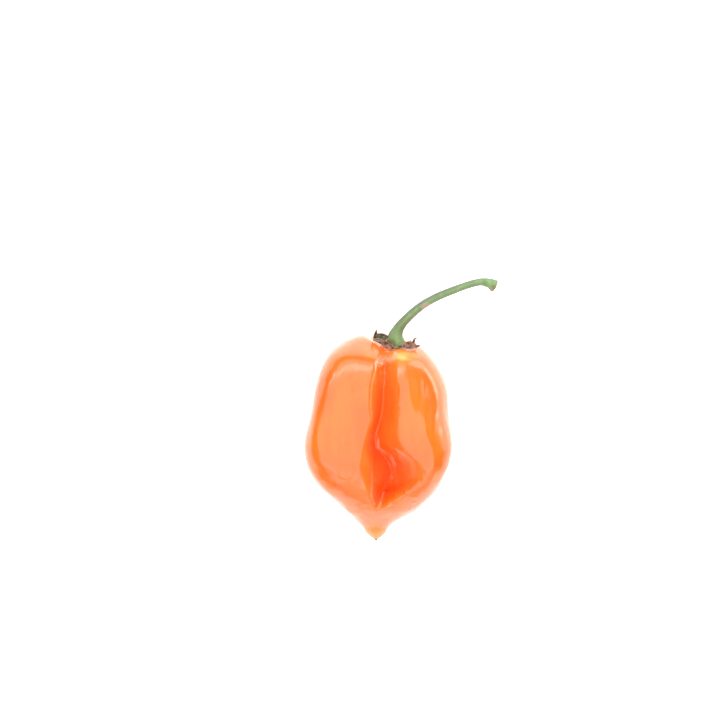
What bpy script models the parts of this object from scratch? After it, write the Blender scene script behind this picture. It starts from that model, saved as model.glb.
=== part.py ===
"""A ripe orange lantern-shaped chilli pepper, as picked, lying on its side.

It is made of the pod, the dried calyx on its shoulder and the stalk.
Metres, +Z up. Seen from above, +Y points to the stalk end and +X to the right.
The origin is the middle of the small flat spot that the pod rests on.
Lengths in the tables are in millimetres.
"""

import math

import bmesh
import bpy
import numpy as np

MM = 0.001
GAP = 0.3  # clearance between neighbouring pieces

# The pod's outline, one row for each station from the stalk's seat to the tip.
# Left and right are the plan outline (x, y). Upper and lower are the half depth
# above and below the pod's axis, each with the y where it is reached.
STATIONS = (
    # left x, y      right x, y     upper, y      lower, y
    (4.8, 22.2, 4.8, 22.2, 0.0, 22.2, 0.0, 22.2),
    (1.4, 22.6, 8.0, 22.5, 2.9, 21.4, 3.0, 23.5),
    (-4.4, 25.9, 10.8, 23.2, 6.2, 22.2, 6.4, 25.4),
    (-12.4, 22.2, 14.9, 19.4, 12.8, 19.0, 12.4, 22.2),
    (-16.2, 15.0, 18.4, 12.6, 16.2, 11.5, 15.6, 14.4),
    (-18.0, 5.4, 19.0, 4.4, 17.2, 2.6, 17.0, 3.6),
    (-19.6, -4.2, 19.6, -4.6, 16.8, -6.0, 16.6, -5.6),
    (-16.8, -12.8, 17.0, -12.8, 14.0, -13.6, 14.2, -13.6),
    (-10.0, -19.8, 11.2, -20.2, 9.0, -20.4, 9.4, -20.4),
    (-4.6, -25.0, 3.8, -24.8, 3.9, -24.8, 4.0, -24.8),
    (-3.0, -27.4, 1.9, -27.4, 2.5, -27.3, 2.4, -27.3),
    (-0.5, -29.0, -0.5, -29.0, 0.0, -29.0, 0.0, -29.0),
)
# Height of the pod's axis above the table at each station.
AXIS_HEIGHT = (18.6, 18.4, 18.0, 17.2, 16.8, 16.6, 16.2, 15.6, 14.8, 14.0, 13.6, 13.4)
# How much squarer than an ellipse each station's section is, on the left and right
# above the axis, and what share of that holds below it.
BOXY_LEFT = (0.0, 0.4, 1.2, 2.4, 3.4, 4.6, 5.2, 3.6, 1.8, 0.6, 0.0, 0.0)
BOXY_RIGHT = (0.0, 0.2, 0.5, 0.9, 1.2, 2.0, 4.2, 3.4, 1.4, 0.5, 0.0, 0.0)
BOXY_BELOW = 0.2
POD_SEGMENTS, POD_RINGS = 88, 56
POD_DENSER = 0.45  # how much closer the pod's lengthwise lines lie on top than at the sides

# Folds in the pod's skin, drawn as seen from one side. A row stands every FOLD_STEP
# along the pod from FOLD_START down to the tip: near edge, bottom, far edge and depth.
# Edges are x seen from above or below, and the height z seen from the left or right.
FOLD_START, FOLD_STEP = 24.0, 4.0
MAIN_CREASE = (
    (-0.2, 2.2, 4.4, 0.5),
    (-0.4, 1.9, 4.6, 1.8),
    (-1.0, 1.6, 4.8, 3.0),
    (-2.2, 1.4, 5.0, 3.9),
    (-2.8, 1.2, 5.0, 4.4),
    (-3.0, 0.6, 4.8, 4.6),
    (-3.8, -0.4, 5.2, 4.8),
    (-4.4, -0.2, 6.6, 5.4),
    (-4.0, 1.6, 8.8, 6.4),
    (-3.4, 2.8, 11.0, 7.0),
    (-2.4, 2.2, 12.0, 6.4),
    (-0.8, 0.9, 10.6, 5.2),
    (-0.6, 0.3, 8.0, 4.4),
)
# The lip that closes the hollow towards the tip, as a line seen from above, and its width.
HOLLOW_LIP, LIP_WIDTH = ((10.4, -15.2), (-0.5, -20.9)), 4.4
# A blunt ridge along the left lobe, with rows as for the folds: near edge, top, far edge, height.
LEFT_RIDGE = (
    (-18.0, -14.0, -9.0, 0.0),
    (-18.0, -14.0, -9.0, 0.0),
    (-18.0, -14.2, -9.0, 0.0),
    (-18.4, -14.4, -9.0, 0.0),
    (-18.8, -14.8, -10.4, 0.2),
    (-19.0, -15.2, -11.0, 0.7),
    (-19.2, -15.4, -11.2, 1.0),
    (-19.2, -15.2, -11.0, 1.0),
    (-18.6, -14.4, -10.6, 0.5),
    (-17.0, -13.0, -9.0, 0.0),
)
# A blunt ridge along the right lobe.
RIGHT_RIDGE = (
    (8.0, 12.0, 17.0, 0.0),
    (8.0, 12.0, 17.0, 0.0),
    (8.0, 12.0, 17.6, 0.0),
    (8.0, 12.0, 18.0, 0.0),
    (8.0, 12.0, 18.4, 0.2),
    (7.4, 12.0, 18.6, 0.6),
    (7.4, 12.2, 18.8, 1.0),
    (8.0, 12.8, 19.0, 1.1),
    (9.4, 13.6, 18.6, 0.7),
    (9.6, 13.4, 18.0, 0.2),
    (9.6, 13.0, 17.0, 0.0),
)
RIGHT_VALLEY = (
    (5.0, 8.6, 11.6, 0.0),
    (6.0, 9.4, 12.6, 0.1),
    (7.2, 10.4, 13.8, 0.3),
    (7.8, 11.4, 14.8, 0.5),
    (8.4, 12.4, 15.8, 0.6),
    (9.4, 13.6, 16.8, 0.5),
    (10.6, 14.8, 17.8, 0.3),
    (11.4, 15.6, 18.6, 0.1),
    (12.0, 16.0, 19.0, 0.0),
)
LEFT_CREASE = (
    (8.0, 12.0, 17.0, 0.2),
    (8.0, 12.5, 18.0, 0.9),
    (8.4, 13.2, 19.0, 1.6),
    (9.4, 14.2, 20.0, 2.0),
    (10.6, 15.4, 21.0, 2.2),
    (11.8, 16.6, 22.0, 2.1),
    (13.0, 18.0, 23.0, 1.8),
    (14.0, 19.2, 23.6, 1.5),
    (14.4, 19.8, 23.8, 1.2),
    (14.4, 19.6, 23.4, 0.8),
    (14.0, 18.8, 22.4, 0.4),
    (14.0, 18.0, 21.0, 0.0),
)
RIGHT_CREASE = (
    (5.0, 10.0, 15.0, 0.4),
    (4.6, 9.8, 15.4, 1.3),
    (4.6, 10.0, 16.0, 2.0),
    (4.8, 10.4, 16.6, 2.5),
    (5.2, 11.0, 17.2, 2.7),
    (6.0, 11.8, 18.0, 2.6),
    (7.0, 12.8, 18.6, 2.2),
    (8.0, 13.4, 19.0, 1.8),
    (8.8, 13.8, 18.8, 1.4),
    (9.4, 14.0, 18.4, 0.9),
    (10.0, 14.0, 18.0, 0.4),
    (10.0, 14.0, 18.0, 0.0),
)
UNDER_CREASE = (
    (0.0, 4.4, 9.0, 0.8),
    (1.4, 6.0, 10.6, 1.8),
    (3.4, 7.8, 12.2, 2.5),
    (5.2, 9.4, 13.6, 2.7),
    (6.2, 10.4, 14.4, 2.5),
    (6.4, 10.6, 14.6, 2.2),
    (6.0, 10.2, 14.2, 1.9),
    (5.2, 9.2, 13.0, 1.6),
    (4.0, 7.6, 11.0, 1.2),
    (2.4, 5.4, 8.4, 0.6),
    (1.4, 3.6, 6.0, 0.0),
)
# Rounding of a crease's bottom and of its lips, as shares of its half width.
CREASE_ROUNDING = 0.14
CREASE_LIP = 0.35
SINK_ALONG = 0.2  # share of the skin's own lean along the pod with which the folds sink
SEAT_SHARE = 0.055  # share of the way to the tip over which the folds stay out of the seat
SEAT_AXIS = (0.0, 0.94, 0.35)  # the way the seat faces

# The calyx: a thin dried collar that lies on the pod's seat, with ragged teeth.
CALYX_SEGMENTS, CALYX_RINGS = 96, 22
CALYX_THICKNESS = 0.7
CALYX_RADIUS = 4.0
# Each tooth: direction round the seat in degrees, length past the collar,
# half width in degrees, and how far its point curls up.
TEETH = (
    (-42.0, 1.3, 40.0, 2.0),
    (-76.0, 2.0, 32.0, 1.3),
    (-96.0, 1.7, 24.0, 2.0),
    (-112.0, 2.0, 11.0, 2.4),
    (24.0, 0.5, 22.0, 0.3),
    (66.0, 2.0, 34.0, 0.8),
    (86.0, 2.2, 12.0, 1.2),
    (106.0, 2.4, 22.0, 1.6),
    (172.0, 1.6, 26.0, 0.6),
)

# The stalk's centre line (x, y, z) from its foot to its broken end, and its radii.
STALK_PATH = (
    (4.8, 23.7, 19.15),
    (4.65, 25.3, 19.75),
    (5.1, 27.0, 20.5),
    (6.3, 28.9, 21.4),
    (8.4, 31.1, 22.5),
    (11.4, 33.6, 23.6),
    (15.4, 35.9, 24.4),
    (20.0, 37.8, 24.8),
    (24.4, 39.35, 24.7),
    (27.2, 39.95, 24.3),
    (29.3, 39.65, 23.8),
    (30.9, 38.9, 23.4),
)
STALK_RADII = (2.3, 2.05, 1.5, 1.25, 1.14, 1.08, 1.02, 0.98, 0.92, 0.98, 1.25, 1.7)
STALK_SEGMENTS, STALK_RINGS = 26, 64
STALK_RIBS = 5

COLOURS = {
    "pod": ((0.93, 0.28, 0.02), 0.22),
    "calyx": ((0.23, 0.19, 0.10), 0.75),
    "stalk": ((0.28, 0.42, 0.14), 0.5),
}


def spline(values, at, mirror=None):
    """Catmull-Rom curve through equally spaced values, read at 0 to len(values) - 1.

    Past each end the values go on as mirror times their own reflection, or straight on.
    """
    first, last = 2 * values[0] - values[1], 2 * values[-1] - values[-2]
    if mirror is not None:
        first, last = mirror * values[1], mirror * values[-2]
    padded = np.array([first, *values, last])
    i = np.clip(np.floor(at).astype(int), 0, len(values) - 2)
    f = at - i
    a, b, c, d = padded[i], padded[i + 1], padded[i + 2], padded[i + 3]
    return b + 0.5 * f * (c - a + f * (2 * a - 5 * b + 4 * c - d + f * (3 * (b - c) + d - a)))


def smooth(x):
    """0 below 0, 1 above 1, with no corner in between."""
    x = np.clip(x, 0.0, 1.0)
    return x * x * (3.0 - 2.0 * x)


def unit(vector):
    return vector / np.linalg.norm(vector, axis=-1, keepdims=True)


def station_of(t):
    """Station number at t from 0, the seat, to 1, the tip, evenly spaced along the skin."""
    numbers = np.linspace(0, len(STATIONS) - 1, 400)
    rows = np.array(STATIONS).T
    width = spline((rows[2] - rows[0]) / 2, numbers, -1)
    y = spline((rows[1] + rows[3]) / 2, numbers, 1)
    run = np.concatenate([[0], np.cumsum(np.hypot(np.diff(width), np.diff(y)))])
    return np.interp(t, run / run[-1], numbers)


def plain_pod(t, angle):
    """The pod without its folds. angle is 0 at the top of the lying pod and runs to +X."""
    rows = np.array(STATIONS).T
    at = station_of(t)
    side = spline((rows[2] - rows[0]) / 2, at, -1)
    left = np.sin(angle) < 0
    side_y = np.where(left, spline(rows[1], at, 1), spline(rows[3], at, 1))
    upright = np.cos(angle) > 0
    depth = np.where(upright, spline(rows[4], at, -1), spline(rows[6], at, -1))
    depth_y = np.where(upright, spline(rows[5], at, 1), spline(rows[7], at, 1))
    boxy = np.where(left, spline(BOXY_LEFT, at), spline(BOXY_RIGHT, at))
    power = 2 + np.maximum(boxy, 0) * np.where(upright, 1, BOXY_BELOW)
    across = np.abs(np.sin(angle)) / np.maximum(side, 1e-6)
    up = np.abs(np.cos(angle)) / np.maximum(depth, 1e-6)
    radius = (across**power + up**power) ** (-1 / power)
    share = np.sin(angle) ** 2
    return np.stack(
        [
            spline((rows[0] + rows[2]) / 2, at, 1) + radius * np.sin(angle),
            share * side_y + (1 - share) * depth_y,
            spline(AXIS_HEIGHT, at, 1) + radius * np.cos(angle),
        ],
        axis=-1,
    )


def normals_of(surface, t, angle):
    """Outward unit normals of a surface, from its slopes. Near a pole they are read a little way off."""
    step = 0.004
    t = np.clip(t, 2 * step, 1 - 2 * step)
    along = surface(t + step, angle) - surface(t - step, angle)
    round_ = surface(t, angle + step) - surface(t, angle - step)
    return unit(np.cross(along, round_))


def fold_rows(rows, across, along):
    """A fold's depth, and how far a point is from its bottom as a share of the way to its edge."""
    at = np.clip((FOLD_START - along) / FOLD_STEP, 0, len(rows) - 1)
    near, bottom, far, depth = (spline(column, at, 1) for column in np.array(rows).T)
    reach = np.where(across < bottom, bottom - near, far - bottom)
    return np.maximum(depth, 0), np.abs(across - bottom) / reach


def crease(rows, across, along):
    """Depth of a fold with a sharp bottom."""
    depth, away = fold_rows(rows, across, along)
    away = np.sqrt(away * away + CREASE_ROUNDING**2) - CREASE_ROUNDING
    lip = np.maximum(0, 1 + CREASE_LIP - away) ** 2 / (4 * CREASE_LIP)
    return depth * np.where(away < 1 - CREASE_LIP, 1 - away, lip)


def hollow(rows, across, along):
    """Depth of a fold with a round bottom."""
    depth, away = fold_rows(rows, across, along)
    return depth * np.maximum(0, 1 - away * away) ** 2


def inside_lip(x, y):
    """1 on the stalk's side of the hollow's lip and 0 on the tip's side."""
    (right_x, right_y), (left_x, left_y) = HOLLOW_LIP
    length = math.hypot(right_x - left_x, right_y - left_y)
    away = ((right_x - left_x) * (y - left_y) - (right_y - left_y) * (x - left_x)) / length
    return smooth(away / LIP_WIDTH)


def folds(point, normal, t):
    """How far the skin is drawn in at each point of the plain pod. The seat stays smooth."""
    x, y, z = point[..., 0], point[..., 1], point[..., 2]
    above, below = smooth(normal[..., 2] * 4), smooth(-normal[..., 2] * 4)
    leftward, rightward = smooth(-normal[..., 0] * 4), smooth(normal[..., 0] * 4)
    depth = above * crease(MAIN_CREASE, x, y) * inside_lip(x, y)
    ridges = crease(LEFT_RIDGE, x, y) + crease(RIGHT_RIDGE, x, y)
    depth = depth + above * (hollow(RIGHT_VALLEY, x, y) - ridges)
    depth = depth + leftward * crease(LEFT_CREASE, z, y)
    depth = depth + rightward * crease(RIGHT_CREASE, z, y)
    depth = depth + below * crease(UNDER_CREASE, x, y)
    return depth * smooth((t - SEAT_SHARE) / SEAT_SHARE)


def pod_skin(t, angle):
    """The pod's surface, with its folds and before it settles on its flat spot."""
    point = plain_pod(t, angle)
    normal = normals_of(plain_pod, t, angle)
    inward = -unit(normal * np.array([1.0, SINK_ALONG, 1.0]))
    return point + inward * folds(point, normal, t)[..., None]


def calyx_skin(v, angle):
    """The calyx as a flattened ball: v is 0 at the middle underneath and 1 at the middle on top."""
    radius = np.full(angle.shape, CALYX_RADIUS)
    curl = np.zeros(angle.shape)
    for direction, length, half_width, lift in TEETH:
        away = np.abs((angle - math.radians(direction) + math.pi) % (2 * math.pi) - math.pi)
        tooth = np.maximum(0, 1 - away / math.radians(half_width)) ** 1.3
        radius = radius + length * tooth
        curl = np.maximum(curl, lift * tooth)
    out = np.sin(math.pi * v)
    run = radius * out
    t = run / POD_RUN
    lift = curl * np.maximum(0, (run - 0.7 * CALYX_RADIUS) / (radius - 0.7 * CALYX_RADIUS)) ** 2
    flat = np.cos(math.pi * v)
    height = GAP + CALYX_THICKNESS / 2 * (1 - np.sign(flat) * np.abs(flat) ** 0.45)
    base = pod_skin(t, angle)
    normal = normals_of(pod_skin, t, angle)
    return base + normal * height[..., None] + lift[..., None] * unit(np.array(SEAT_AXIS))


def stalk_skin(v, angle):
    """The stalk as a drawn-out ball: v is 0 at the middle of its foot and 1 at its broken end."""
    foot_share, end_share = 0.05, 0.04
    at = np.clip((v - foot_share) / (1 - foot_share - end_share), 0, 1) ** 1.25
    inner = np.minimum(1, np.minimum(v / foot_share, (1 - v) / end_share))
    at = at * (len(STALK_PATH) - 1)
    centre = np.stack([spline(column, at) for column in np.array(STALK_PATH).T], axis=-1)
    ahead = np.stack([spline(column, at + 0.01) for column in np.array(STALK_PATH).T], axis=-1)
    tangent = unit(ahead - centre)
    side = unit(np.cross(tangent, np.array([0.0, 0.0, 1.0])))
    up = np.cross(side, tangent)
    ribs = 1 + 0.05 * np.cos(STALK_RIBS * angle)
    radius = spline(STALK_RADII, at) * inner * ribs
    return centre + radius[..., None] * (np.sin(angle)[..., None] * side + np.cos(angle)[..., None] * up)


def formed_ball(name, segments, rings, skin):
    """A sphere whose every point is moved to skin(v, angle), with v from 0 to 1 between the poles."""
    mesh = bpy.data.meshes.new(name)
    sphere = bmesh.new()
    bmesh.ops.create_uvsphere(sphere, u_segments=segments, v_segments=rings, radius=1)
    sphere.to_mesh(mesh)
    sphere.free()
    ball = np.empty(3 * len(mesh.vertices), np.float32)
    mesh.vertices.foreach_get("co", ball)
    x, y, z = ball.reshape(-1, 3).astype(float).T
    points = skin(np.arccos(np.clip(z, -1, 1)) / math.pi, np.arctan2(y, x))
    mesh.vertices.foreach_set("co", (points * MM).astype(np.float32).ravel())
    mesh.update()
    return mesh


def settled(t, angle):
    """The pod's surface, flattened where it rests on the table."""
    skin = pod_skin(t, angle - POD_DENSER * np.sin(angle))
    skin[:, 2] = np.maximum(skin[:, 2], 0)
    return skin


def face_outwards(mesh):
    """Turns every face of a closed mesh to the outside."""
    shape = bmesh.new()
    shape.from_mesh(mesh)
    bmesh.ops.recalc_face_normals(shape, faces=shape.faces)
    shape.to_mesh(mesh)
    shape.free()


def material(name):
    colour, roughness = COLOURS[name]
    made = bpy.data.materials.new(name)
    made.use_nodes = True
    shader = made.node_tree.nodes["Principled BSDF"]
    shader.inputs["Base Color"].default_value = (*colour, 1)
    shader.inputs["Roughness"].default_value = roughness
    shader.inputs["Metallic"].default_value = 0
    return made


def add_object(name, mesh, collection):
    face_outwards(mesh)
    mesh.materials.append(material(name))
    made = bpy.data.objects.new(name, mesh)
    collection.objects.link(made)
    mesh.shade_smooth()
    return made


def pod_run():
    """Length of the skin from the seat to the tip."""
    rows = np.array(STATIONS).T
    numbers = np.linspace(0, len(STATIONS) - 1, 400)
    width = spline((rows[2] - rows[0]) / 2, numbers, -1)
    y = spline((rows[1] + rows[3]) / 2, numbers, 1)
    return np.hypot(np.diff(width), np.diff(y)).sum()


POD_RUN = pod_run()


def main():
    for old in list(bpy.data.objects):
        bpy.data.objects.remove(old)
    pepper = bpy.data.collections.new("chilli_pepper")
    bpy.context.scene.collection.children.link(pepper)
    add_object("pod", formed_ball("pod", POD_SEGMENTS, POD_RINGS, settled), pepper)
    add_object("calyx", formed_ball("calyx", CALYX_SEGMENTS, CALYX_RINGS, calyx_skin), pepper)
    add_object("stalk", formed_ball("stalk", STALK_SEGMENTS, STALK_RINGS, stalk_skin), pepper)


main()
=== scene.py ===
"""Studio view of the ripe orange chilli pepper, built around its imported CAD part.

The pod, the calyx and the stalk are the part's own forms with finer relief on them: waves,
dents and wrinkles of the skin, dried water marks, crumpled calyx teeth and stalk ridges.
Metres, +Z up. Lengths in the tables are in millimetres.
"""

import itertools
import math

import bmesh
import bpy
import numpy as np
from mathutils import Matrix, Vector


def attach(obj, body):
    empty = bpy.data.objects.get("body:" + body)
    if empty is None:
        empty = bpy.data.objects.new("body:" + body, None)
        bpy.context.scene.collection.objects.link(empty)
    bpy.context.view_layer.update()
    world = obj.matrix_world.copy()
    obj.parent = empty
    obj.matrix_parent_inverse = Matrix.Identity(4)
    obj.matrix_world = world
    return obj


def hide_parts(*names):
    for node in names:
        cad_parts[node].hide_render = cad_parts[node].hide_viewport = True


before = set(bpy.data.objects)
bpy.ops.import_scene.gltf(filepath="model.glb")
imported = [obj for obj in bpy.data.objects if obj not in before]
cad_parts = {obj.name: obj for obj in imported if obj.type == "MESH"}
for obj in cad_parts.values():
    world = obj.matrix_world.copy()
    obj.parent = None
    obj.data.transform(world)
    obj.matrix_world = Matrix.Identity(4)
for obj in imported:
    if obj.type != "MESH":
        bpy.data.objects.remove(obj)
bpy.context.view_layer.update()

MM = 0.001
GAP = 0.3  # clearance between neighbouring pieces
SAMPLES = 400  # points at which the pod's outline is read for the length of its skin
SLOPE_STEP = 0.004  # step over which a surface's slopes are read
PATH_STEP = 0.01  # step over which a path's direction is read
FACING = 4.0  # how fast the folds of one side of the pod give way to those of the next
RIM_POWER = 0.45  # how blunt the rims of the calyx and of its curled teeth are
SPOT_REACH = 1.3  # how far out a spot ends, in its radii. It is full up to 1 less than that

# The pod's outline, one row for each station from the stalk's seat to the tip.
# Left and right are the plan outline (x, y). Upper and lower are the half depth
# above and below the pod's axis, each with the y where it is reached.
STATIONS = (
    # left x, y      right x, y     upper, y      lower, y
    (4.8, 22.2, 4.8, 22.2, 0.0, 22.2, 0.0, 22.2),
    (1.4, 22.6, 8.0, 22.5, 2.9, 21.4, 3.0, 23.5),
    (-4.4, 25.9, 10.8, 23.2, 6.2, 22.2, 6.4, 25.4),
    (-12.4, 22.2, 14.9, 19.4, 12.8, 19.0, 12.4, 22.2),
    (-16.2, 15.0, 18.4, 12.6, 16.2, 11.5, 15.6, 14.4),
    (-18.0, 5.4, 19.0, 4.4, 17.2, 2.6, 17.0, 3.6),
    (-19.6, -4.2, 19.6, -4.6, 16.8, -6.0, 16.6, -5.6),
    (-16.8, -12.8, 17.0, -12.8, 14.0, -13.6, 14.2, -13.6),
    (-10.0, -19.8, 11.2, -20.2, 9.0, -20.4, 9.4, -20.4),
    (-4.6, -25.0, 3.8, -24.8, 4.2, -24.8, 4.0, -24.8),
    (-3.0, -27.4, 1.9, -27.4, 2.3, -27.3, 2.4, -27.3),
    (-0.5, -29.0, -0.5, -29.0, 0.0, -29.0, 0.0, -29.0),
)
# Height of the pod's axis above the table at each station.
AXIS_HEIGHT = (18.6, 18.4, 18.0, 17.2, 16.8, 16.6, 16.2, 15.6, 14.8, 14.0, 13.6, 13.4)
# How much squarer than an ellipse each station's section is, on the left and right
# above the axis, and what share of that holds below it.
BOXY_LEFT = (0.0, 0.4, 1.2, 2.4, 3.4, 4.6, 5.2, 3.6, 1.8, 0.6, 0.0, 0.0)
BOXY_RIGHT = (0.0, 0.2, 0.5, 0.9, 1.2, 2.0, 4.2, 3.4, 1.4, 0.5, 0.0, 0.0)
BOXY_BELOW = 0.2
POD_SEGMENTS, POD_RINGS = 352, 280
POD_DENSER = 0.5  # how much closer the pod's lengthwise lines lie on top than at the sides

# Folds in the pod's skin, drawn as seen from one side. A row stands every FOLD_STEP
# along the pod from FOLD_START down to the tip: near edge, bottom, far edge and depth.
# Edges are x seen from above or below, and the height z seen from the left or right.
FOLD_START, FOLD_STEP = 24.0, 4.0
MAIN_CREASE = (
    (-0.2, 2.2, 4.4, 0.5),
    (-0.4, 1.9, 4.6, 1.8),
    (-1.0, 1.6, 4.8, 3.0),
    (-1.8, 1.4, 5.0, 3.9),
    (-2.0, 1.2, 5.0, 4.4),
    (-1.6, 0.6, 4.8, 4.6),
    (-2.6, -0.6, 5.2, 4.8),
    (-3.4, -0.4, 6.4, 5.6),
    (-3.2, 2.6, 9.6, 7.2),
    (-2.6, 3.6, 10.9, 7.6),
    (-1.6, 2.2, 11.2, 6.8),
    (-0.8, 0.9, 10.6, 5.2),
    (-0.6, 0.3, 8.0, 4.4),
)
# The lip that closes the hollow towards the tip, as a line seen from above, and its width.
HOLLOW_LIP, LIP_WIDTH = ((10.4, -14.6), (-0.5, -21.0)), 3.2
# A blunt ridge along the left lobe, with rows as for the folds: near edge, top, far edge
# and height.
LEFT_RIDGE = (
    (-18.0, -14.0, -9.0, 0.0),
    (-18.0, -14.0, -9.0, 0.0),
    (-18.0, -14.2, -9.0, 0.0),
    (-18.4, -14.4, -9.0, 0.0),
    (-18.8, -14.8, -10.4, 0.2),
    (-19.0, -15.2, -11.0, 0.7),
    (-19.2, -15.4, -11.2, 1.0),
    (-19.2, -15.2, -11.0, 1.0),
    (-18.6, -14.4, -10.6, 0.5),
    (-17.0, -13.0, -9.0, 0.0),
)
# A blunt ridge along the right lobe.
RIGHT_RIDGE = (
    (8.0, 12.0, 17.0, 0.0),
    (8.0, 12.0, 17.0, 0.0),
    (8.0, 12.0, 17.6, 0.0),
    (8.0, 12.0, 18.0, 0.0),
    (8.0, 12.0, 18.4, 0.2),
    (8.4, 12.0, 18.6, 0.6),
    (9.0, 12.4, 18.8, 1.0),
    (10.4, 13.6, 19.0, 1.0),
    (11.4, 14.4, 18.6, 0.6),
    (11.0, 14.0, 18.0, 0.2),
    (9.6, 13.0, 17.0, 0.0),
)
# A shallow valley down the right lobe, and the creases down both sides and underneath.
RIGHT_VALLEY = (
    (5.0, 8.6, 11.6, 0.0),
    (6.0, 9.4, 12.6, 0.1),
    (7.2, 10.4, 13.8, 0.3),
    (7.8, 11.4, 14.8, 0.5),
    (8.4, 12.4, 15.8, 0.6),
    (9.4, 13.6, 16.8, 0.5),
    (10.6, 14.8, 17.8, 0.3),
    (11.4, 15.6, 18.6, 0.1),
    (12.0, 16.0, 19.0, 0.0),
)
LEFT_CREASE = (
    (8.0, 12.0, 17.0, 0.2),
    (8.0, 12.5, 18.0, 0.9),
    (8.4, 13.2, 19.0, 1.6),
    (9.4, 14.2, 20.0, 2.0),
    (10.6, 15.4, 21.0, 2.2),
    (11.8, 16.6, 22.0, 2.1),
    (13.0, 18.0, 23.0, 1.8),
    (14.0, 19.2, 23.6, 1.5),
    (14.4, 19.8, 23.8, 1.2),
    (14.4, 19.6, 23.4, 0.8),
    (14.0, 18.8, 22.4, 0.4),
    (14.0, 18.0, 21.0, 0.0),
)
RIGHT_CREASE = (
    (5.0, 10.0, 15.0, 0.4),
    (4.6, 9.8, 15.4, 1.3),
    (4.6, 10.0, 16.0, 2.0),
    (4.8, 10.4, 16.6, 2.5),
    (5.2, 11.0, 17.2, 2.7),
    (6.0, 11.8, 18.0, 2.6),
    (7.0, 12.8, 18.6, 2.2),
    (8.0, 13.4, 19.0, 1.8),
    (8.8, 13.8, 18.8, 1.4),
    (9.4, 14.0, 18.4, 0.9),
    (10.0, 14.0, 18.0, 0.4),
    (10.0, 14.0, 18.0, 0.0),
)
UNDER_CREASE = (
    (0.0, 4.4, 9.0, 0.8),
    (1.4, 6.0, 10.6, 1.8),
    (3.4, 7.8, 12.2, 2.5),
    (5.2, 9.4, 13.6, 2.7),
    (6.2, 10.4, 14.4, 2.5),
    (6.4, 10.6, 14.6, 2.2),
    (6.0, 10.2, 14.2, 1.9),
    (5.2, 9.2, 13.0, 1.6),
    (4.0, 7.6, 11.0, 1.2),
    (2.4, 5.4, 8.4, 0.6),
    (1.4, 3.6, 6.0, 0.0),
)
# Rounding of a crease's bottom and of its lips, as shares of its half width.
CREASE_ROUNDING = 0.03
CREASE_LIP = 0.35
SINK_ALONG = 0.2  # share of the skin's own lean along the pod with which the folds sink
SEAT_SHARE = 0.055  # share of the way to the tip over which the folds stay out of the seat
SEAT_AXIS = (0.0, 0.94, 0.35)  # the way the seat faces

# A raised wrinkle that runs down the floor of the hollow, as (x, y) seen from above.
WRINKLE_PATH = (
    (-0.5, 0.0),
    (-0.3, -3.7),
    (1.2, -5.0),
    (2.9, -5.9),
    (3.8, -7.2),
    (4.2, -8.7),
    (3.9, -10.4),
    (3.2, -12.1),
    (2.0, -13.5),
    (1.5, -14.9),
    (1.5, -18.2),
)
WRINKLE_HEIGHT, WRINKLE_WIDTH = 0.42, 0.34
WRINKLE_ENDS = 8  # one part in so many of its length is where each end fades out
# Spots on the skin are (x, y, radius along x, radius along y), and what else each table needs.
# Dried water marks, and the height and width of their rims, the width as a share of the radius.
WATER_MARKS = (
    (-7.9, -5.0, 1.35, 1.2),
    (-8.6, -10.6, 1.5, 1.1),
    (4.8, 5.9, 1.2, 1.7),
)
MARK_HEIGHT, MARK_RIM = 0.09, 0.22
# Small dents and bumps of the skin, each with its height.
BLEMISHES = (
    (-5.6, 11.8, 1.3, 1.9, -0.4),
    (-7.4, 5.6, 0.8, 3.2, -0.12),
    (-9.6, 9.0, 0.5, 2.0, -0.06),
    (14.4, 3.5, 1.4, 2.2, 0.4),
    (5.7, 11.6, 0.3, 1.5, 0.14),
    (11.8, 12.3, 0.3, 1.4, 0.12),
    (4.6, -15.8, 0.4, 0.4, 0.22),
    (7.2, -15.6, 0.5, 0.35, 0.22),
    (2.9, -18.7, 0.5, 0.35, 0.22),
    (9.5, -18.5, 0.5, 0.3, 0.16),
)
# Paler ripe patches, each with its strength.
PALE_PATCHES = (
    (6.3, 20.2, 1.9, 1.5, 0.75),
    (6.6, 20.4, 4.6, 2.4, 0.3),
    (-0.6, -28.2, 4.2, 4.0, 0.3),
)
# Duller skin: a spot on the right wall of the hollow, and a stretch of the crease that
# fades in from the first y and out at the second, over these lengths.
DULL_WALL = (7.4, -9.4, 2.6, 4.6)
DULL_CREASE, DULL_FADES = (-1.0, 13.0), (4.0, 3.0)
# Painted shade in the crease: a redder, darker skin colour where shade and red light thrown back by
# its walls fall.
# Its strength, its reach in half widths, and the depth of crease at which it is full.
CREASE_SHADE, CREASE_SHADE_REACH, CREASE_SHADE_DEPTH = 0.65, 1.15, 6.0
# Puckered skin along the top of the crease, as a spot.
PUCKER, PUCKER_DEPTH = (0.8, 15.8, 1.5, 5.0), 0.26
# Lumps are layers of noise: height, size along x, y and z, and seed.
PUCKER_LUMPS = (
    (1.0, (1.0, 1.5, 1.1), 4.0),
    (0.4, (0.5, 0.7, 0.6), 5.0),
)
# Slow waves of the skin, and where they fade out towards the seat and the tip.
WAVES = (
    (0.16, (2.6, 11.0, 2.6), 1.0),
    (0.045, (1.1, 6.0, 1.1), 2.0),
)
WAVE_SEAT_END, WAVE_TIP_END, WAVE_FADE = 21.0, -28.0, 6.0
# The dried remnant of the flower at the tip: its middle, its radius and its height.
REMNANT_AT, REMNANT_RADIUS, REMNANT_HEIGHT = (-0.5, -29.0, 13.4), 0.35, 0.5

# The calyx: a thin dried collar that lies on the pod's seat, with ragged teeth.
CALYX_SEGMENTS, CALYX_RINGS = 240, 56
CALYX_THICKNESS = 0.7
CALYX_RADIUS = 4.0
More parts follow.
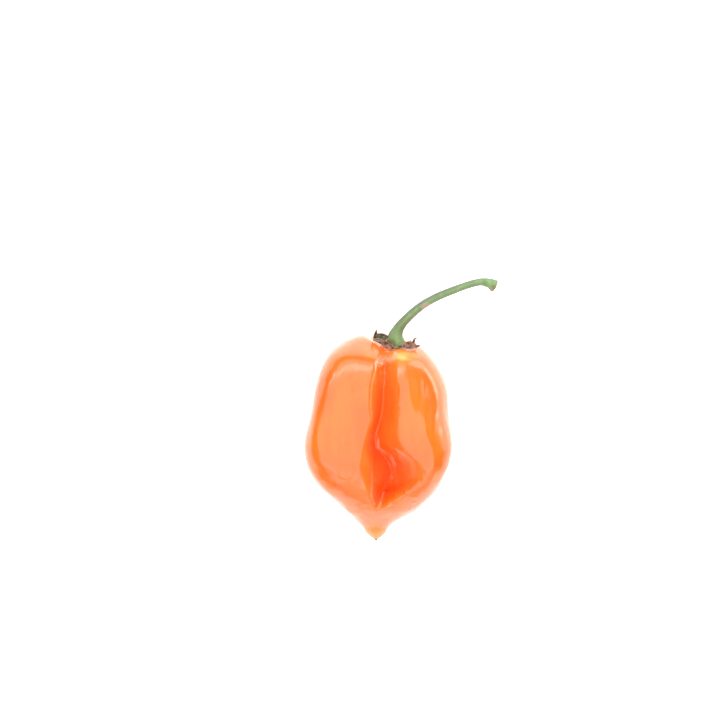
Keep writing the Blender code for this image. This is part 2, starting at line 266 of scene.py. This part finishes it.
# Each tooth: direction round the seat in degrees, length past the collar,
# half width in degrees, and how far its point curls up.
TEETH = (
    (-42.0, 0.8, 40.0, 1.0),
    (-90.0, 1.4, 30.0, 1.0),
    (24.0, 0.3, 22.0, 0.3),
    (72.0, 1.2, 34.0, 0.8),
    (106.0, 1.6, 22.0, 1.0),
    (172.0, 1.6, 26.0, 0.6),
)
TOOTH_POWER = 1.3  # how pointed the teeth are
CURL_START = 0.7  # share of the collar's radius at which the points start to curl up
CALYX_TONE = 0.4  # how brown the collar is, from 0, olive, to 1
# The pale rims of the collar and of the sheets: how fast they come in, and how far out.
COLLAR_RIM, LEAF_RIM = (3.0, 2.4), (5.0, 4.1)
# Height of the crumples, and the share of the collar's radius from which they grow.
CRUMPLE, CRUMPLE_START = 0.16, 0.3
CRUMPLE_LUMPS = (
    (1.0, (0.9, 0.9, 0.9), 7.0),
    (0.6, (0.4, 0.4, 0.4), 8.0),
)
# The sheets that form the calyx's curled, torn teeth and points.
LEAF_SEGMENTS, LEAF_RINGS = 96, 24
LEAF_THICKNESS = 0.26
LEAF_LUMPS = (
    (0.16, (0.7, 0.7, 0.7), 9.0),
    (0.08, (0.3, 0.3, 0.3), 10.0),
)
# Name, the way each sheet faces, how far its edges cup up, how brown it is, and its path
# (x, y, z, half width).
LEAVES = (
    (
        "calyx_lobe_left", (0.0, 0.2, 0.98), 0.6, 0.0,
        ((2.8, 25.0, 22.0, 0.3), (1.5, 25.2, 22.4, 0.95), (-0.1, 25.2, 22.6, 1.05),
         (-1.3, 25.0, 22.5, 0.35)),
    ),
    (
        "calyx_lobe_back", (0.0, -0.2, 0.98), 0.3, 0.0,
        ((0.0, 26.0, 22.6, 0.3), (0.8, 26.1, 22.7, 0.4), (1.8, 25.8, 22.3, 0.35),
         (2.4, 25.4, 22.0, 0.2)),
    ),
    (
        "calyx_band", (0.1, 0.1, 0.99), 0.25, 0.8,
        ((-1.4, 24.7, 22.7, 0.3), (0.3, 24.3, 22.9, 0.6), (1.8, 23.6, 23.2, 0.75),
         (3.2, 22.8, 23.6, 0.7), (4.5, 22.0, 24.5, 0.25)),
    ),
    (
        "calyx_lobe_right", (0.0, 0.55, 0.84), 0.45, 1.0,
        ((6.3, 22.7, 24.0, 0.35), (7.6, 23.0, 24.6, 1.15), (9.0, 23.0, 24.5, 1.2),
         (10.1, 22.8, 23.8, 0.6)),
    ),
    (
        "calyx_point_left", (0.2, 0.0, 1.0), 0.1, 0.3,
        ((-0.9, 25.5, 22.8, 0.4), (-0.7, 26.4, 23.4, 0.4), (-0.45, 27.3, 24.2, 0.12)),
    ),
    (
        "calyx_point_back", (0.2, 0.0, 1.0), 0.1, 0.8,
        ((9.2, 23.5, 24.0, 0.5), (9.4, 24.5, 24.6, 0.35), (9.75, 24.95, 24.9, 0.22),
         (10.3, 25.1, 25.0, 0.1)),
    ),
    (
        "calyx_point_right", (0.0, -0.3, 1.0), 0.1, 0.8,
        ((9.8, 22.5, 24.1, 0.35), (10.4, 23.05, 24.3, 0.3), (11.2, 23.1, 24.4, 0.12)),
    ),
    (
        "calyx_rim", (0.0, -0.2, 1.0), 0.0, 2.0,
        ((2.2, 25.2, 23.0, 0.15), (3.1, 24.1, 23.3, 0.24), (4.1, 22.9, 23.8, 0.24),
         (5.0, 22.4, 24.4, 0.24), (5.9, 22.6, 24.4, 0.24), (6.7, 23.4, 23.6, 0.15)),
    ),
)

# The stalk's centre line (x, y, z) from its foot to its broken end, and its radii.
STALK_PATH = (
    (4.8, 23.7, 19.15),
    (4.65, 25.3, 19.75),
    (5.1, 27.0, 20.5),
    (6.3, 28.9, 21.4),
    (8.4, 31.1, 22.5),
    (11.4, 33.6, 23.6),
    (15.4, 35.9, 24.4),
    (20.0, 37.8, 24.8),
    (24.4, 39.35, 24.7),
    (27.2, 39.95, 24.3),
    (29.3, 39.65, 23.8),
    (30.9, 38.9, 23.4),
)
STALK_RADII = (2.5, 2.2, 1.6, 1.27, 1.14, 1.08, 1.02, 0.98, 0.92, 0.98, 1.25, 1.7)
STALK_SEGMENTS, STALK_RINGS = 96, 420
STALK_FOOT, STALK_END = 0.05, 0.04  # shares of the ball that close the foot and the end
STALK_CROWDING = 1.25  # power with which the rings crowd towards the foot
STALK_RIBS, RIB_HEIGHT = 5, 0.05
END_BULGE = 0.35  # how far the broken end bulges out
# The dry scar on the stalk's side, as a spot, and where the brown broken end begins.
STALK_SCAR = (12.9, 33.4, 1.95, 1.3)
BROKEN_END, BROKEN_FADE = (30.1, 39.2), 0.6
STALK_LUMPS = ((0.03, (0.45, 0.45, 0.45), 11.0),)
BROKEN_LUMPS = ((0.22, (0.6, 0.6, 0.6), 12.0),)
# Painted shade: darker stripes along both sides of the stalk, set by the way its skin faces. The
# way the stronger one faces, where they start, over how much they fade in, and the strength of the
# other one.
SHADE_FACING, SHADE_START, SHADE_FADE, FAR_SHADE = (-0.6, 0.8, 0.0), 0.3, 0.5, 0.6

# The camera looks straight down. One photo pixel covers PIXEL millimetres of the pod's
# mid height, and the pod's origin lies at ORIGIN_PIXEL of the square picture.
PICTURE, PIXEL = 720, 0.268
ORIGIN_PIXEL = (378, 432)
CAMERA_HEIGHT = 600.0
POD_MIDDLE = 17.0
SENSOR_WIDTH = 36.0

FLOOR_SIZE = 4.0  # metres
FLOOR_GLOW = 0.7
WORLD_GREY = 0.12
# Area lights: name, place, size, power and what each faces, in metres and watts.
LIGHTS = (
    ("top", (-0.15, 0.3, 0.9), (1.4, 4.6), 34, (-0.15, 0.3, 0)),
    ("low", (-1.0, -2.0, 0.9), (1.2, 0.8), 5, (-1.0, -2.0, 0)),
    ("front", (0.3, -2.2, 0.8), (1.8, 1.3), 6.5, (0, 0, 0.1)),
    ("back", (1.9, 1.6, 0.45), (2.2, 0.9), 22, (0, 0, 0.02)),
    ("key", (-0.2, 0.8, 0.7), (1.2, 0.22), 2.6, (0, 0, 0.02)),
    ("right", (1.9, 0.7, 0.35), (2.4, 0.8), 12, (0, 0, 0.02)),
)


def spline(values, at, mirror=None):
    """Catmull-Rom curve through equally spaced values, read at 0 to len(values) - 1.

    Past each end the values go on as mirror times their own reflection, or straight on.
    """
    first, last = 2 * values[0] - values[1], 2 * values[-1] - values[-2]
    if mirror is not None:
        first, last = mirror * values[1], mirror * values[-2]
    padded = np.array([first, *values, last])
    i = np.clip(np.floor(at).astype(int), 0, len(values) - 2)
    f = at - i
    a, b, c, d = padded[i], padded[i + 1], padded[i + 2], padded[i + 3]
    return b + 0.5 * f * (c - a + f * (2 * a - 5 * b + 4 * c - d + f * (3 * (b - c) + d - a)))


def smooth(x):
    """0 below 0, 1 above 1, with no corner in between."""
    x = np.clip(x, 0.0, 1.0)
    return x * x * (3.0 - 2.0 * x)


def unit(vector):
    return vector / np.linalg.norm(vector, axis=-1, keepdims=True)


def noise(points, size, seed):
    """Smooth values from -1 to 1 at points, with lumps of the given size."""
    place = points / np.array(size)
    cell = np.floor(place)
    share = smooth(place - cell)
    total = np.zeros(points.shape[:-1])
    for corner in itertools.product((0, 1), repeat=3):
        weight = np.prod(np.where(corner, share, 1 - share), axis=-1)
        spread = np.sin((cell + corner) @ np.array([12.9898, 78.233, 37.719]) + seed) * 43758.5453
        total += weight * (2 * (spread - np.floor(spread)) - 1)
    return total


def lumps(points, layers):
    """Height of layers of noise, each a height, a size and a seed."""
    return sum(height * noise(points, size, seed) for height, size, seed in layers)


def off_spot(x, y, spot):
    """Distance from the middle of a spot seen from above, in its radii."""
    spot_x, spot_y, radius_x, radius_y = spot[:4]
    return np.hypot((x - spot_x) / radius_x, (y - spot_y) / radius_y)


def on_spot(x, y, spot):
    """1 in the middle of a spot and 0 outside it."""
    return smooth(SPOT_REACH - off_spot(x, y, spot))


def skin_runs():
    """Evenly spaced station numbers, and the length of the skin from the seat to each."""
    rows = np.array(STATIONS).T
    numbers = np.linspace(0, len(STATIONS) - 1, SAMPLES)
    width = spline((rows[2] - rows[0]) / 2, numbers, -1)
    y = spline((rows[1] + rows[3]) / 2, numbers, 1)
    return numbers, np.concatenate([[0], np.cumsum(np.hypot(np.diff(width), np.diff(y)))])


def station_of(t):
    """Station number at t from 0, the seat, to 1, the tip, evenly spaced along the skin."""
    numbers, run = skin_runs()
    return np.interp(t, run / run[-1], numbers)


def plain_pod(t, angle):
    """The pod without its folds. angle is 0 at the top of the lying pod and runs to +X."""
    rows = np.array(STATIONS).T
    at = station_of(t)
    side = spline((rows[2] - rows[0]) / 2, at, -1)
    left = np.sin(angle) < 0
    side_y = np.where(left, spline(rows[1], at, 1), spline(rows[3], at, 1))
    upright = np.cos(angle) > 0
    depth = np.where(upright, spline(rows[4], at, -1), spline(rows[6], at, -1))
    depth_y = np.where(upright, spline(rows[5], at, 1), spline(rows[7], at, 1))
    boxy = np.where(left, spline(BOXY_LEFT, at), spline(BOXY_RIGHT, at))
    power = 2 + np.maximum(boxy, 0) * np.where(upright, 1, BOXY_BELOW)
    across = np.abs(np.sin(angle)) / np.maximum(side, 1e-6)
    up = np.abs(np.cos(angle)) / np.maximum(depth, 1e-6)
    radius = (across**power + up**power) ** (-1 / power)
    share = np.sin(angle) ** 2
    return np.stack(
        [
            spline((rows[0] + rows[2]) / 2, at, 1) + radius * np.sin(angle),
            share * side_y + (1 - share) * depth_y,
            spline(AXIS_HEIGHT, at, 1) + radius * np.cos(angle),
        ],
        axis=-1,
    )


def normals_of(surface, t, angle):
    """Outward unit normals of a surface, from its slopes. At a pole they are read near it."""
    t = np.clip(t, 2 * SLOPE_STEP, 1 - 2 * SLOPE_STEP)
    along = surface(t + SLOPE_STEP, angle) - surface(t - SLOPE_STEP, angle)
    around = surface(t, angle + SLOPE_STEP) - surface(t, angle - SLOPE_STEP)
    return unit(np.cross(along, around))


def fold_rows(rows, across, along):
    """A fold's depth, and how far a point is from its bottom on the way to its edge."""
    at = np.clip((FOLD_START - along) / FOLD_STEP, 0, len(rows) - 1)
    near, bottom, far, depth = (spline(column, at, 1) for column in np.array(rows).T)
    reach = np.where(across < bottom, bottom - near, far - bottom)
    return np.maximum(depth, 0), np.abs(across - bottom) / reach


def crease(rows, across, along):
    """Depth of a fold with a sharp bottom."""
    depth, away = fold_rows(rows, across, along)
    away = np.sqrt(away * away + CREASE_ROUNDING**2) - CREASE_ROUNDING
    lip = np.maximum(0, 1 + CREASE_LIP - away) ** 2 / (4 * CREASE_LIP)
    return depth * np.where(away < 1 - CREASE_LIP, 1 - away, lip)


def hollow(rows, across, along):
    """Depth of a fold with a round bottom."""
    depth, away = fold_rows(rows, across, along)
    return depth * np.maximum(0, 1 - away * away) ** 2


def inside_lip(x, y):
    """1 on the stalk's side of the hollow's lip and 0 on the tip's side."""
    (right_x, right_y), (left_x, left_y) = HOLLOW_LIP
    length = math.hypot(right_x - left_x, right_y - left_y)
    away = ((right_x - left_x) * (y - left_y) - (right_y - left_y) * (x - left_x)) / length
    return smooth(away / LIP_WIDTH)


def folds(point, normal, t):
    """How far the skin is drawn in at each point of the plain pod. The seat stays smooth."""
    x, y, z = point[..., 0], point[..., 1], point[..., 2]
    above, below = smooth(normal[..., 2] * FACING), smooth(-normal[..., 2] * FACING)
    leftward, rightward = smooth(-normal[..., 0] * FACING), smooth(normal[..., 0] * FACING)
    depth = above * crease(MAIN_CREASE, x, y) * inside_lip(x, y)
    ridges = crease(LEFT_RIDGE, x, y) + crease(RIGHT_RIDGE, x, y)
    depth = depth + above * (hollow(RIGHT_VALLEY, x, y) - ridges)
    depth = depth + leftward * crease(LEFT_CREASE, z, y)
    depth = depth + rightward * crease(RIGHT_CREASE, z, y)
    depth = depth + below * crease(UNDER_CREASE, x, y)
    return depth * smooth((t - SEAT_SHARE) / SEAT_SHARE)


def pod_skin(t, angle):
    """The pod's surface, with its folds and before its fine relief."""
    point = plain_pod(t, angle)
    normal = normals_of(plain_pod, t, angle)
    inward = -unit(normal * np.array([1.0, SINK_ALONG, 1.0]))
    return point + inward * folds(point, normal, t)[..., None]


def off_path(path, x, y):
    """Distance from a path seen from above, and how far along the path as a share."""
    path = np.array(path)
    steps = np.diff(path, axis=0)
    lengths = np.linalg.norm(steps, axis=1)
    starts = np.concatenate([[0], np.cumsum(lengths)])
    nearest = np.full(x.shape, 1e9)
    share = np.zeros(x.shape)
    for start, step, length, run in zip(path[:-1], steps, lengths, starts):
        s = np.clip(((x - start[0]) * step[0] + (y - start[1]) * step[1]) / length**2, 0, 1)
        away = np.hypot(x - start[0] - s * step[0], y - start[1] - s * step[1])
        closer = away < nearest
        nearest = np.where(closer, away, nearest)
        share = np.where(closer, (run + s * length) / starts[-1], share)
    return nearest, share


def wrinkle(x, y):
    """Height of the raised wrinkle in the hollow."""
    away, share = off_path(WRINKLE_PATH, x, y)
    ends = smooth(share * WRINKLE_ENDS) * smooth((1 - share) * WRINKLE_ENDS)
    return WRINKLE_HEIGHT * np.exp(-((away / WRINKLE_WIDTH) ** 2)) * ends


def water_marks(x, y):
    """Height of the rims that dried drops of water left on the skin."""
    height = np.zeros(x.shape)
    for mark in WATER_MARKS:
        height += MARK_HEIGHT * np.exp(-(((off_spot(x, y, mark) - 1) / MARK_RIM) ** 2))
    return height


def pucker(point):
    """Depth of the crumpled skin along the top of the crease."""
    return PUCKER_DEPTH * on_spot(point[..., 0], point[..., 1], PUCKER) * lumps(point, PUCKER_LUMPS)


def blemishes(x, y):
    """Height of the small dents and bumps of the skin."""
    height = np.zeros(x.shape)
    for spot in BLEMISHES:
        height += spot[4] * np.exp(-(off_spot(x, y, spot) ** 2))
    return height


def waves(point):
    """Height of the slow lengthwise waves of the skin, which fade out at the seat and the tip."""
    y = point[..., 1]
    ends = smooth((WAVE_SEAT_END - y) / WAVE_FADE) * smooth((y - WAVE_TIP_END) / WAVE_FADE)
    return lumps(point, WAVES) * ends


def off_tip(point):
    """Distance from the middle of the dried remnant at the tip."""
    return np.linalg.norm(point - np.array(REMNANT_AT), axis=-1)


def pod_relief(point, normal):
    """Height of the fine relief on the pod's skin."""
    x, y = point[..., 0], point[..., 1]
    above = smooth(normal[..., 2] * FACING)
    remnant = REMNANT_HEIGHT * np.exp(-((off_tip(point) / REMNANT_RADIUS) ** 2))
    marks = wrinkle(x, y) + water_marks(x, y) + pucker(point) + blemishes(x, y)
    return waves(point) + remnant + above * marks


POD_RUN = skin_runs()[1][-1]  # length of the pod's skin from the seat to the tip


def rim(v):
    """Height of a flattened ball with a blunt rim, from 1 at its first pole to -1 at its last."""
    flat = np.cos(math.pi * v)
    return np.sign(flat) * np.abs(flat) ** RIM_POWER


def rim_tint(v, speed, start):
    """How far the pale colour of a rim has come in at v, from 0 to 1."""
    return smooth(speed * np.sin(math.pi * v) - start)


def calyx_skin(v, angle):
    """The calyx as a flattened ball: v is 0 in the middle underneath and 1 on top."""
    radius = np.full(angle.shape, CALYX_RADIUS)
    curl = np.zeros(angle.shape)
    for direction, length, half_width, lift in TEETH:
        away = np.abs((angle - math.radians(direction) + math.pi) % (2 * math.pi) - math.pi)
        tooth = np.maximum(0, 1 - away / math.radians(half_width)) ** TOOTH_POWER
        radius = radius + length * tooth
        curl = np.maximum(curl, lift * tooth)
    run = radius * np.sin(math.pi * v)
    t = run / POD_RUN
    start = CURL_START * CALYX_RADIUS
    lift = curl * np.maximum(0, (run - start) / (radius - start)) ** 2
    height = GAP + CALYX_THICKNESS / 2 * (1 - rim(v))
    base = pod_skin(t, angle)
    normal = normals_of(pod_skin, t, angle)
    return base + normal * height[..., None] + lift[..., None] * unit(np.array(SEAT_AXIS))


def calyx_relief(point, normal):
    """Height of the calyx's crumples, which grow towards its edge."""
    away = np.linalg.norm(point - point.mean(axis=0), axis=-1) / CALYX_RADIUS
    return CRUMPLE * smooth(away - CRUMPLE_START) * lumps(point, CRUMPLE_LUMPS)


def path_frame(path, at, facing):
    """Points of a path that starts its rows with x, y, z, its direction, and two ways across it."""
    columns = np.array(path).T[:3]
    centre = np.stack([spline(column, at) for column in columns], axis=-1)
    ahead = np.stack([spline(column, at + PATH_STEP) for column in columns], axis=-1)
    tangent = unit(ahead - centre)
    side = unit(np.cross(tangent, np.array(facing)))
    return centre, tangent, side, np.cross(side, tangent)


def leaf_skin(path, facing, cup):
    """A small curled sheet as a flattened ball, drawn along its path (x, y, z, half width)."""

    def skin(v, angle):
        along = np.sin(math.pi * v) * np.cos(angle)
        across = np.sin(math.pi * v) * np.sin(angle) / np.sqrt(np.maximum(1 - along**2, 1e-6))
        at = (along + 1) / 2 * (len(path) - 1)
        half = spline(np.array(path).T[3], at)
        centre, _, side, up = path_frame(path, at, facing)
        height = LEAF_THICKNESS / 2 * rim(v) + cup * across**2
        return centre + (across * half)[..., None] * side + height[..., None] * up

    return skin


def leaf_relief(point, normal):
    """Height of the crumples of a curled tooth."""
    return lumps(point, LEAF_LUMPS)


def stalk_skin(v, angle):
    """The stalk as a drawn-out ball: v is 0 at the middle of its foot and 1 at its broken end."""
    at = np.clip((v - STALK_FOOT) / (1 - STALK_FOOT - STALK_END), 0, 1) ** STALK_CROWDING
    at = at * (len(STALK_PATH) - 1)
    inner = np.minimum(1, np.minimum(v / STALK_FOOT, (1 - v) / STALK_END))
    centre, tangent, side, up = path_frame(STALK_PATH, at, (0.0, 0.0, 1.0))
    radius = spline(STALK_RADII, at) * inner * (1 + RIB_HEIGHT * np.cos(STALK_RIBS * angle))
    centre = centre + tangent * (END_BULGE * (v > 0.5) * (1 - inner))[..., None]
    around = np.sin(angle)[..., None] * side + np.cos(angle)[..., None] * up
    return centre + radius[..., None] * around


def broken(point):
    """0 on the stalk's green skin, and 1 on its broken end and on the dry corner below it."""
    x, y = point[..., 0], point[..., 1]
    return smooth(BROKEN_FADE * (x - BROKEN_END[0] + BROKEN_END[1] - y))


def stalk_relief(point, normal):
    """Height of the stalk's fine ridges and of its rough end."""
    return lumps(point, STALK_LUMPS) + broken(point) * lumps(point, BROKEN_LUMPS)


def read_points(mesh, name):
    values = np.empty(3 * len(mesh.vertices), np.float32)
    mesh.vertices.foreach_get(name, values)
    return values.reshape(-1, 3).astype(float)


def place_points(mesh, points):
    mesh.vertices.foreach_set("co", (points * MM).astype(np.float32).ravel())
    mesh.update()


def formed_ball(name, segments, rings, skin, relief, denser=0.0):
    """A sphere whose every point is moved to skin(v, angle), v being 0 to 1 between its poles.

    relief gives the height of the fine forms on that skin. Nothing goes below the table.
    Returns the mesh, its points and the v of each.
    """
    mesh = bpy.data.meshes.new(name)
    sphere = bmesh.new()
    bmesh.ops.create_uvsphere(sphere, u_segments=segments, v_segments=rings, radius=1)
    sphere.to_mesh(mesh)
    sphere.free()
    x, y, z = read_points(mesh, "co").T
    angle = np.arctan2(y, x)
    v = np.arccos(np.clip(z, -1, 1)) / math.pi
    points = skin(v, angle - denser * np.sin(angle))
    place_points(mesh, points)
    shape = bmesh.new()
    shape.from_mesh(mesh)
    bmesh.ops.recalc_face_normals(shape, faces=shape.faces)
    shape.to_mesh(mesh)
    shape.free()
    normals = read_points(mesh, "normal")
    points = points + normals * relief(points, normals)[:, None]
    points[:, 2] = np.maximum(points[:, 2], 0)
    place_points(mesh, points)
    mesh.shade_smooth()
    return mesh, points, v


def paint_values(mesh, name, values):
    """Keeps one number for each vertex on the mesh, for its material to read."""
    made = mesh.attributes.new(name, "FLOAT", "POINT")
    made.data.foreach_set("value", np.asarray(values, np.float32))


def add_node(tree, kind, inputs=(), **settings):
    """A shader node with its settings, and with its inputs (name, value) linked or set."""
    node = tree.nodes.new(kind)
    for key, value in settings.items():
        setattr(node, key, value)
    for key, value in inputs:
        if isinstance(value, bpy.types.NodeSocket):
            tree.links.new(value, node.inputs[key])
        else:
            node.inputs[key].default_value = value
    return node


def attribute(tree, name):
    return add_node(tree, "ShaderNodeAttribute", attribute_name=name).outputs["Fac"]


def blend_colours(tree, share, first, second):
    """first where share is 0 and second where it is 1. Each is a colour or a socket."""
    node = add_node(tree, "ShaderNodeMix", data_type="RGBA")
    for key, value in ((0, share), (6, first), (7, second)):
        if isinstance(value, bpy.types.NodeSocket):
            tree.links.new(value, node.inputs[key])
        else:
            node.inputs[key].default_value = value if key == 0 else (*value, 1)
    return node.outputs[2]


def painted(tree, colour, layers):
    """A colour with layers laid over it in turn, each a vertex value's name and its colour."""
    for name, over in layers:
        colour = blend_colours(tree, attribute(tree, name), colour, over)
    return colour


def mottle(tree, scale, detail=3.0, low=0.35, high=0.65):
    """A cloudy pattern from 0 to 1. scale is lumps per millimetre along x, y and z."""
    place = add_node(tree, "ShaderNodeTexCoord").outputs["Object"]
    scale = [s / MM for s in scale]
    stretched = add_node(tree, "ShaderNodeMapping", [("Vector", place), ("Scale", scale)])
    inputs = [("Vector", stretched.outputs[0]), ("Scale", 1.0), ("Detail", detail)]
    cloud = add_node(tree, "ShaderNodeTexNoise", inputs)
    ends = [("Value", cloud.outputs["Fac"]), ("From Min", low), ("From Max", high)]
    return add_node(tree, "ShaderNodeMapRange", ends).outputs[0]


def between(tree, share, low, high):
    """The number low where share is 0, and high where it is 1."""
    ends = [("Value", share), ("To Min", low), ("To Max", high)]
    return add_node(tree, "ShaderNodeMapRange", ends).outputs[0]


def new_material(name):
    made = bpy.data.materials.new(name)
    made.use_nodes = True
    return made, made.node_tree, made.node_tree.nodes["Principled BSDF"]


def finish_material(tree, shader, colour, roughness, bumps):
    """Joins colour, roughness and bumps to the shader. A bump is a pattern and a depth in mm."""
    tree.links.new(colour, shader.inputs["Base Color"])
    tree.links.new(roughness, shader.inputs["Roughness"])
    normal = None
    for pattern, depth in bumps:
        inputs = [("Height", pattern), ("Distance", depth * MM)]
        if normal is not None:
            inputs.append(("Normal", normal))
        normal = add_node(tree, "ShaderNodeBump", inputs).outputs[0]
    tree.links.new(normal, shader.inputs["Normal"])


def pod_material():
    made, tree, shader = new_material("pod_skin")
    cloud = mottle(tree, (0.25, 0.09, 0.25))
    colour = blend_colours(tree, cloud, (0.93, 0.155, 0.011), (0.96, 0.195, 0.015))
    layers = (
        # painted shade: redder, darker skin down the crease
        ("fold", (0.95, 0.07, 0.005)),
        ("pale", (0.93, 0.50, 0.09)),
        ("style", (0.12, 0.06, 0.03)),
    )
    colour = painted(tree, colour, layers)
    roughness = between(tree, mottle(tree, (0.5, 0.2, 0.5)), 0.16, 0.26)
    dull = attribute(tree, "dull")
    rougher = [(0, dull), (1, 0.3), (2, roughness)]
    roughness = add_node(tree, "ShaderNodeMath", rougher, operation="MULTIPLY_ADD").outputs[0]
    tree.links.new(between(tree, dull, 0.6, 0.0), shader.inputs["Coat Weight"])
    shader.inputs["Coat Roughness"].default_value = 0.15
    bumps = [(mottle(tree, (1.4, 0.5, 1.4)), 0.02), (mottle(tree, (7.0, 5.0, 7.0), 2.0), 0.003)]
    finish_material(tree, shader, colour, roughness, bumps)
    return made


def calyx_material():
    made, tree, shader = new_material("dried_calyx")
    cloud = mottle(tree, (0.9, 0.9, 0.9), 3.0, 0.4, 0.6)
    olive = blend_colours(tree, cloud, (0.02, 0.02, 0.01), (0.13, 0.12, 0.06))
    brown = blend_colours(tree, cloud, (0.12, 0.05, 0.035), (0.40, 0.19, 0.12))
    colour = painted(tree, olive, (("tone", brown), ("rim", (0.5, 0.40, 0.27))))
    roughness = between(tree, mottle(tree, (2.0, 2.0, 2.0)), 0.55, 0.85)
    bumps = [(mottle(tree, (3.0, 3.0, 3.0), 4.0), 0.12)]
    finish_material(tree, shader, colour, roughness, bumps)
    return made


def stalk_material():
    made, tree, shader = new_material("stalk_skin")
    cloud = mottle(tree, (0.8, 0.25, 0.8))
    green = blend_colours(tree, cloud, (0.18, 0.31, 0.11), (0.25, 0.39, 0.15))
    grains = mottle(tree, (1.2, 1.2, 1.2), 2.0, 0.45, 0.6)
    ochre = blend_colours(tree, grains, (0.13, 0.09, 0.03), (0.30, 0.25, 0.14))
    layers = (
        # painted shade along the stalk's sides
        ("shade", (0.18, 0.18, 0.15)),
        ("scar", (0.45, 0.32, 0.22)),
        ("end", ochre),
    )
    colour = painted(tree, green, layers)
    roughness = between(tree, mottle(tree, (2.0, 2.0, 2.0)), 0.42, 0.6)
    bumps = [(mottle(tree, (2.5, 2.5, 2.5), 4.0), 0.05)]
    finish_material(tree, shader, colour, roughness, bumps)
    return made


def floor_material():
    made, tree, shader = new_material("pale_floor")
    cloud = mottle(tree, (0.02, 0.02, 0.02))
    colour = blend_colours(tree, cloud, (0.90, 0.90, 0.90), (0.92, 0.92, 0.92))
    roughness = between(tree, mottle(tree, (0.1, 0.1, 0.1)), 0.85, 0.95)
    shader.inputs["Emission Color"].default_value = (1, 1, 1, 1)
    shader.inputs["Emission Strength"].default_value = FLOOR_GLOW
    finish_material(tree, shader, colour, roughness, [(mottle(tree, (0.5, 0.5, 0.5)), 0.01)])
    return made


def add_piece(mesh, made, node=None):
    """Shows a mesh as a piece of the pepper, in place of a node of the part where one is named."""
    mesh.materials.append(made)
    piece = bpy.data.objects.new(mesh.name, mesh)
    bpy.context.scene.collection.objects.link(piece)
    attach(piece, "root")
    if node is not None:
        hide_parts(node)


def build_pod():
    mesh, points, _ = formed_ball(
        "pod_fine", POD_SEGMENTS, POD_RINGS, pod_skin, pod_relief, POD_DENSER
    )
    x, y, z = points.T
    above = z > POD_MIDDLE / 2
    depth, away = fold_rows(MAIN_CREASE, x, y)
    # fold holds painted shade: a redder, darker skin that is strongest where the main crease is
    # deepest
    fold = smooth(CREASE_SHADE_REACH - away) * np.clip(depth / CREASE_SHADE_DEPTH, 0, 1)
    paint_values(mesh, "fold", CREASE_SHADE * fold * above * inside_lip(x, y))
    pale = np.zeros(len(points))
    for patch in PALE_PATCHES:
        pale = np.maximum(pale, patch[4] * on_spot(x, y, patch) * above)
    paint_values(mesh, "pale", pale)
    (low, high), (low_fade, high_fade) = DULL_CREASE, DULL_FADES
    dull = smooth(SPOT_REACH - away) * smooth((y - low) / low_fade) * smooth((high - y) / high_fade)
    paint_values(mesh, "dull", np.maximum(dull, on_spot(x, y, DULL_WALL)) * above)
    paint_values(mesh, "style", smooth(2 - off_tip(points) / REMNANT_RADIUS))
    add_piece(mesh, pod_material(), "pod")


def build_calyx():
    made = calyx_material()
    mesh, _, v = formed_ball("calyx_fine", CALYX_SEGMENTS, CALYX_RINGS, calyx_skin, calyx_relief)
    paint_values(mesh, "tone", np.full(len(v), CALYX_TONE))
    paint_values(mesh, "rim", rim_tint(v, *COLLAR_RIM))
    add_piece(mesh, made, "calyx")
    for name, facing, cup, tone, path in LEAVES:
        skin = leaf_skin(path, facing, cup)
        mesh, _, v = formed_ball(name, LEAF_SEGMENTS, LEAF_RINGS, skin, leaf_relief)
        paint_values(mesh, "tone", np.full(len(v), tone))
        paint_values(mesh, "rim", rim_tint(v, *LEAF_RIM))
        add_piece(mesh, made)


def build_stalk():
    mesh, points, _ = formed_ball(
        "stalk_fine", STALK_SEGMENTS, STALK_RINGS, stalk_skin, stalk_relief
    )
    # painted shade: the stalk's sides made darker by the way they face, one side more than the
    # other
    across = read_points(mesh, "normal") @ unit(np.array(SHADE_FACING))
    near, far = (smooth((lean - SHADE_START) / SHADE_FADE) for lean in (across, -across))
    paint_values(mesh, "shade", near + FAR_SHADE * far)
    scar = off_spot(points[:, 0], points[:, 1], STALK_SCAR)
    paint_values(mesh, "scar", smooth(2 * (1 - scar)))
    paint_values(mesh, "end", broken(points))
    add_piece(mesh, stalk_material(), "stalk")


def add_floor():
    bpy.ops.mesh.primitive_plane_add(size=FLOOR_SIZE)
    floor = bpy.context.object
    floor.name = "floor"
    floor.data.materials.append(floor_material())


def add_camera():
    data = bpy.data.cameras.new("camera")
    data.sensor_width = SENSOR_WIDTH
    data.lens = data.sensor_width * (CAMERA_HEIGHT - POD_MIDDLE) / (PICTURE * PIXEL)
    camera = bpy.data.objects.new("camera", data)
    bpy.context.scene.collection.objects.link(camera)
    x = (PICTURE / 2 - ORIGIN_PIXEL[0]) * PIXEL
    y = (ORIGIN_PIXEL[1] - PICTURE / 2) * PIXEL
    camera.location = (x * MM, y * MM, CAMERA_HEIGHT * MM)
    bpy.context.scene.camera = camera


def add_light(name, place, size, power, target):
    data = bpy.data.lights.new(name, "AREA")
    data.shape = "RECTANGLE"
    data.size, data.size_y = size
    data.energy = power
    light = bpy.data.objects.new(name, data)
    bpy.context.scene.collection.objects.link(light)
    light.location = place
    light.rotation_euler = (Vector(target) - Vector(place)).to_track_quat("-Z", "Y").to_euler()
    light.visible_camera = False


def add_lights():
    world = bpy.data.worlds.new("studio")
    world.use_nodes = True
    background = world.node_tree.nodes["Background"]
    background.inputs[0].default_value = (WORLD_GREY, WORLD_GREY, WORLD_GREY, 1)
    bpy.context.scene.world = world
    bpy.context.scene.view_settings.view_transform = "Standard"
    for light in LIGHTS:
        add_light(*light)


build_pod()
build_calyx()
build_stalk()
add_floor()
add_camera()
add_lights()
